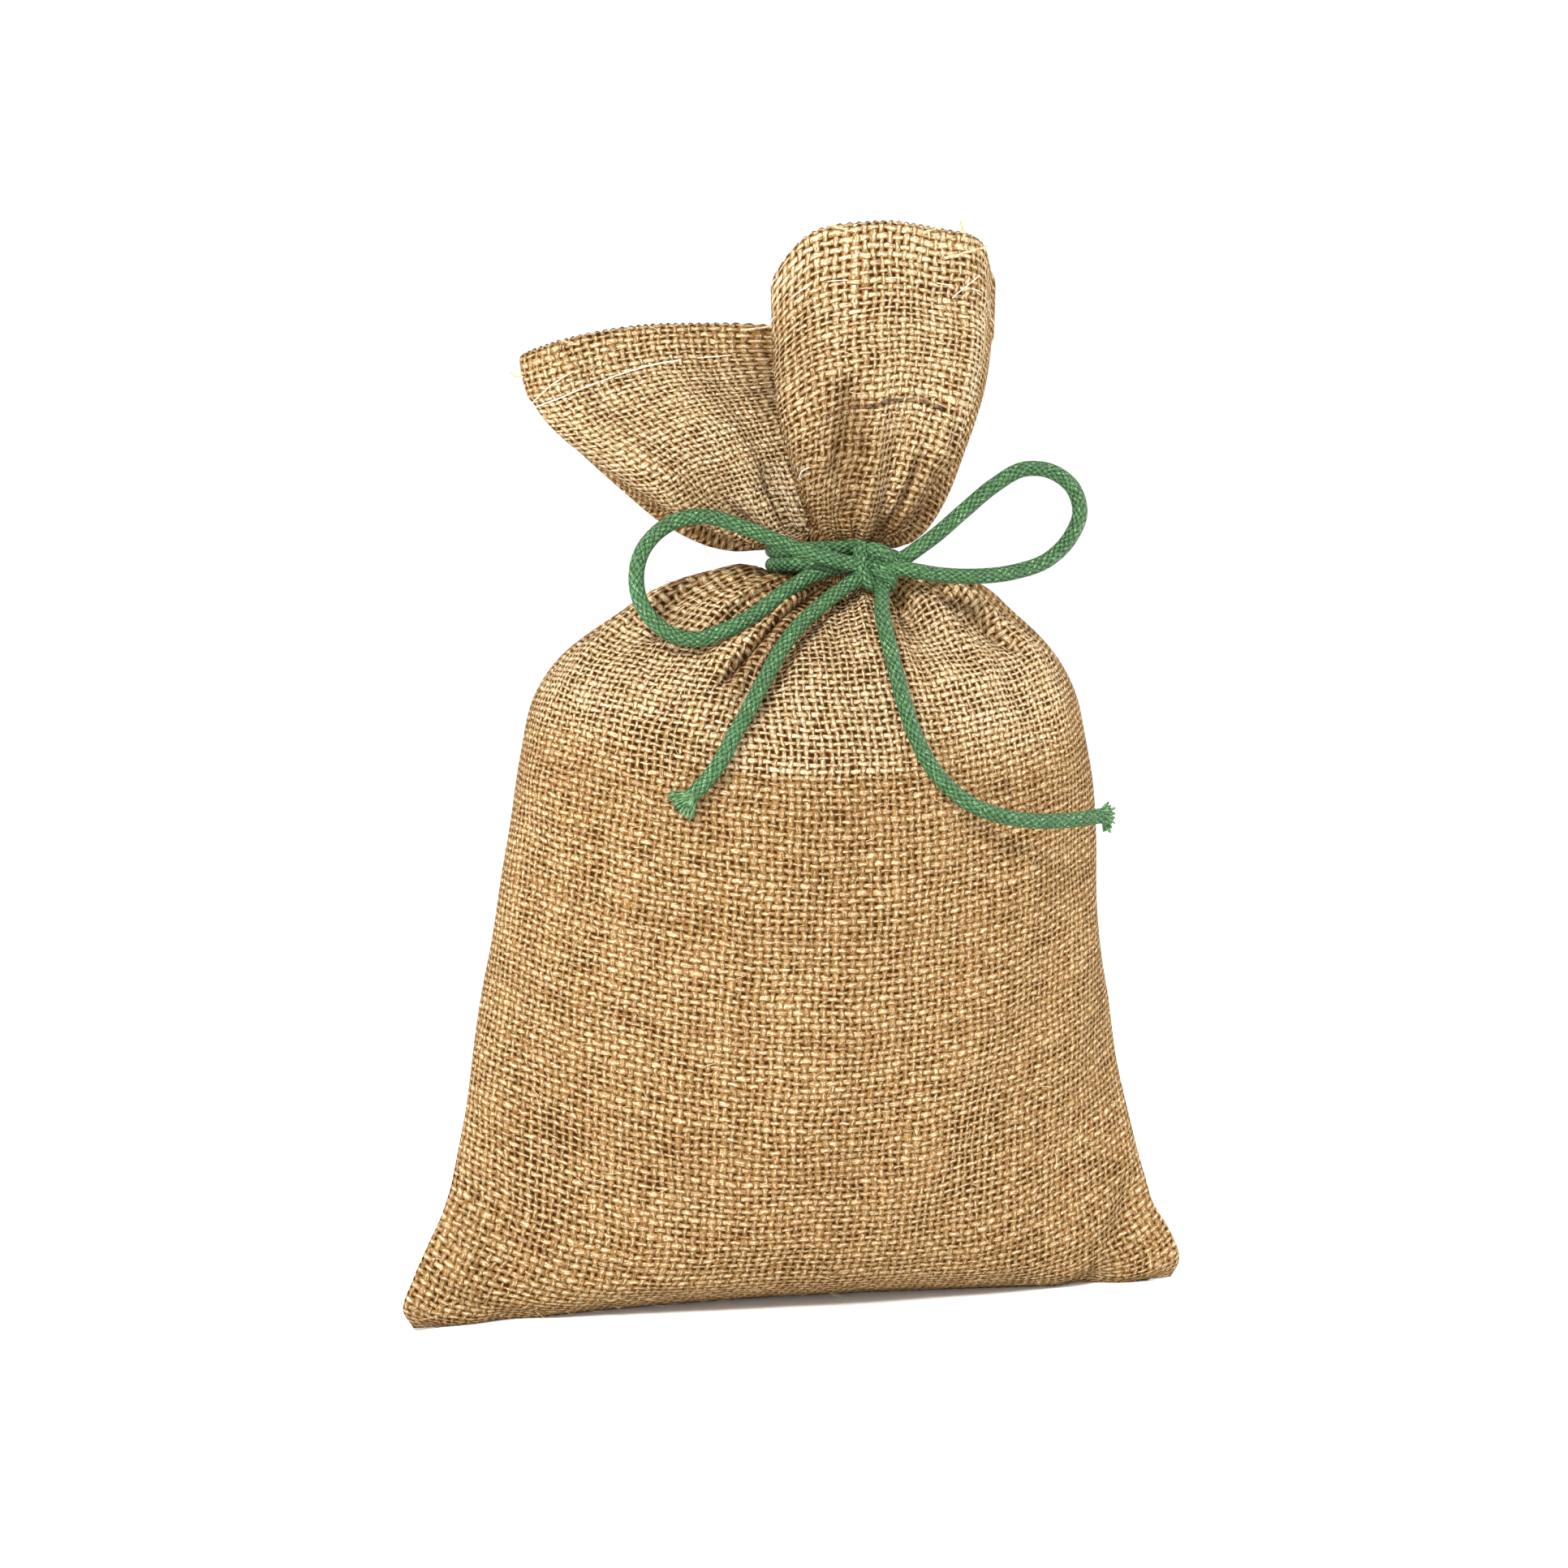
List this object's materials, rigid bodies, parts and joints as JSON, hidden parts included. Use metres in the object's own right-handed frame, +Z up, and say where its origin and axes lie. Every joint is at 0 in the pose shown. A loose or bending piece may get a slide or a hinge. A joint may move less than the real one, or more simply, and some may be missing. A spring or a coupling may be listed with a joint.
{
  "type": "burlap sack",
  "caption": "Filled burlap sack standing on its base, gathered and tied at the neck with a cord bow, its open mouth spread above the tie.",
  "frame": {"origin": "middle of the sack's footprint, on the surface it stands on", "axes": "+Z up towards the mouth, -Y towards the front with the bow, +X to the right as seen from the front"},
  "size_m": [0.202, 0.0938, 0.2667],
  "materials": {
    "burlap": "coarse plain-woven jute",
    "green_cord": "braided cord, slightly waxed"
  },
  "bodies": {
    "root": {"sack": "burlap", "tie_knot": "green_cord", "loop_left": "green_cord", "loop_right": "green_cord", "tail_left": "green_cord", "tail_right": "green_cord", "tuft_left": "green_cord", "tuft_right": "green_cord"}
  },
  "joints": []
}
